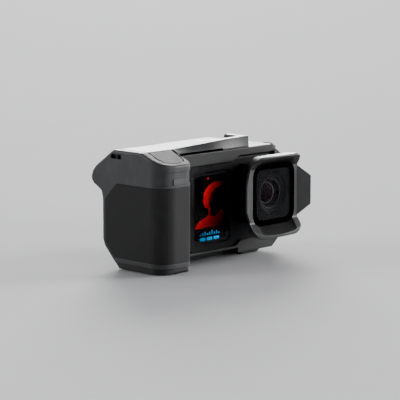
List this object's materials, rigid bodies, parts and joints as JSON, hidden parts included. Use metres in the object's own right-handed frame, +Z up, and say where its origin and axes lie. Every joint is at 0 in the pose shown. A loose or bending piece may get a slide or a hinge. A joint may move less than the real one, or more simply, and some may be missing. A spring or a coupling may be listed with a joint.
{
  "type": "action camera",
  "caption": "Action camera in a grip cage with a top bar and cold shoe, a battery grip with shutter key, a hinged side door and a flared four-petal lens hood.",
  "frame": {"origin": "mouth of the tripod socket in the base, on the floor under the lens axis", "axes": "+X to the right of someone looking at the front, away from the grip; +Y towards the back; +Z up"},
  "size_m": [0.1113, 0.0624, 0.0671],
  "materials": {
    "cage_plastic": "fine-grain satin moulding",
    "grip_plastic": "fine-grain satin moulding",
    "base_plastic": "matte moulding",
    "bar_plastic": "fine-grain satin moulding",
    "hood_plastic": "soft-touch satin moulding",
    "key_plastic": "warm grey satin moulding",
    "camera_plastic": "matte black moulding",
    "button_plastic": "satin moulding",
    "grip_rubber": "fine-textured moulded rubber",
    "seal_rubber": "smooth seal rubber",
    "gloss_black": "polished",
    "screen_glass": "coated cover glass",
    "lens_glass": "coated optical glass",
    "display": "lit display panel",
    "lens_metal": "black anodised",
    "steel": "turned and brushed",
    "port_metal": "nickel plated",
    "insert_metal": "machined",
    "heat_metal": "anodised",
    "cell_wrap": "shrink wrap",
    "board": "solder mask"
  },
  "bodies": {
    "camera_and_grip": {"base_pad": "seal_rubber", "cage_frame": "cage_plastic", "cage_screws": "steel", "camera_battery": "cell_wrap", "camera_front_shell": "camera_plastic", "camera_plug": "base_plastic", "camera_rear_shell": "camera_plastic", "camera_usb_port": "port_metal", "door_hinge_pin": "steel", "finger_pin": "steel", "front_display": "display", "front_element": "lens_glass", "front_glass": "screen_glass", "front_indicator": "button_plastic", "grip_base": "base_plastic", "grip_base_screws": "steel", "grip_battery": "cell_wrap", "grip_board": "board", "grip_charge_port": "port_metal", "grip_feet": "seal_rubber", "grip_rubber": "grip_rubber", "grip_shell": "grip_plastic", "grip_side_cover": "grip_plastic", "heat_spreader": "heat_metal", "image_sensor": "board", "lanyard_bar": "base_plastic", "lens_barrel": "camera_plastic", "lens_cell": "lens_metal", "lens_cover_frame": "gloss_black", "lens_cover_glass": "screen_glass", "lens_cover_seal": "seal_rubber", "lens_hood_ring": "lens_metal", "main_board": "board", "port_door_pin": "steel", "rear_display": "display", "rear_element": "lens_glass", "rear_glass": "screen_glass", "second_element": "lens_glass", "shoe_plate": "insert_metal", "shoe_screws": "steel", "shutter_key_switch": "board", "shutter_switch": "board", "side_cover_screws": "steel", "third_element": "lens_glass", "thumb_pad": "grip_rubber", "top_bar": "bar_plastic", "tripod_insert": "insert_metal"},
    "side_door": {"side_door": "cage_plastic"},
    "door_latch": {"door_latch": "button_plastic"},
    "shutter_key": {"shutter_key": "key_plastic"},
    "power_button": {"power_button": "button_plastic"},
    "port_door": {"port_door": "seal_rubber"},
    "camera_shutter_button": {"camera_shutter_button": "button_plastic"},
    "mode_button": {"mode_button": "button_plastic"},
    "left_mount_finger": {"left_mount_finger": "camera_plastic"},
    "right_mount_finger": {"right_mount_finger": "camera_plastic"},
    "lens_hood": {"lens_hood": "hood_plastic", "hood_screws": "steel", "hood_liner": "seal_rubber"}
  },
  "joints": [
    {"name": "side_door_hinge", "type": "hinge", "parent": "camera_and_grip", "child": "side_door", "pos_m": [0.019, 0.018, 0.032], "axis": [0, 0, 1], "range_deg": [0, 105]},
    {"name": "door_latch_slide", "type": "slide", "parent": "side_door", "child": "door_latch", "axis": [0, 1, 0], "range_m": [0, 0.003]},
    {"name": "shutter_key_press", "type": "slide", "parent": "camera_and_grip", "child": "shutter_key", "axis": [0, 0, -1], "range_m": [0, 0.0008], "stiffness_N_per_m": 900},
    {"name": "power_button_press", "type": "slide", "parent": "camera_and_grip", "child": "power_button", "axis": [0, -0.5739, -0.8189], "range_m": [0, 0.0006], "stiffness_N_per_m": 900},
    {"name": "port_door_hinge", "type": "hinge", "parent": "camera_and_grip", "child": "port_door", "pos_m": [-0.0634, 0.02, 0.0245], "axis": [0, 0, -1], "range_deg": [0, 95]},
    {"name": "camera_shutter_press", "type": "slide", "parent": "camera_and_grip", "child": "camera_shutter_button", "axis": [0, 0, -1], "range_m": [0, 0.0005], "stiffness_N_per_m": 900},
    {"name": "mode_button_press", "type": "slide", "parent": "camera_and_grip", "child": "mode_button", "axis": [-1, 0, 0], "range_m": [0, 0.0005], "stiffness_N_per_m": 900},
    {"name": "left_finger_fold", "type": "hinge", "parent": "camera_and_grip", "child": "left_mount_finger", "pos_m": [-0.0234, -0.004, 0.0076], "axis": [-1, 0, 0], "range_deg": [0, 90]},
    {"name": "right_finger_fold", "type": "hinge", "parent": "camera_and_grip", "child": "right_mount_finger", "pos_m": [-0.0138, -0.004, 0.0076], "axis": [-1, 0, 0], "range_deg": [0, 90]},
    {"name": "lens_hood_pull", "type": "slide", "parent": "camera_and_grip", "child": "lens_hood", "axis": [0, -1, 0], "range_m": [0, 0.014]}
  ]
}
